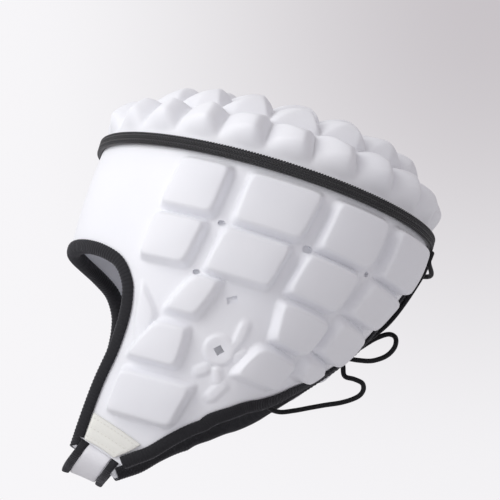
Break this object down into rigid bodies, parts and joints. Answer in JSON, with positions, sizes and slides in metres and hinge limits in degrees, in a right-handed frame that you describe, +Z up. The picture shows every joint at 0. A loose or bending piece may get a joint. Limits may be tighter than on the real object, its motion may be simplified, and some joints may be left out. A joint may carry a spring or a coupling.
{
  "type": "rugby scrum cap",
  "caption": "Padded foam scrum cap with staggered crown pillows, side pads, bound edges, a laced rear split and a chin strap.",
  "frame": {"origin": "top of the hollow, where the cap sits on the crown of the head", "axes": "+Z up as worn, face opening towards -Y, wearer's left towards +X"},
  "size_m": [0.1822, 0.2161, 0.2497],
  "materials": {
    "white_foam": "white moulded foam skin, satin",
    "black_braid": "black flat braid",
    "black_knit": "dark ribbed knit tape",
    "cream_patch": "off-white stitched cloth",
    "white_webbing": "white smooth webbing",
    "black_cord": "black round braided lace"
  },
  "bodies": {
    "root": {"crown_panel": "white_foam", "side_shell": "white_foam", "halo_tape": "black_braid", "face_binding": "black_knit", "neck_binding_left": "black_knit", "neck_binding_right": "black_knit", "chin_patch_left": "cream_patch", "chin_patch_right": "cream_patch", "chin_strap": "white_webbing", "strap_edge_front": "black_knit", "strap_edge_back": "black_knit", "lace": "black_cord", "lace_knot": "black_cord", "lace_loop_upper": "black_cord", "lace_loop_lower": "black_cord"}
  },
  "joints": []
}
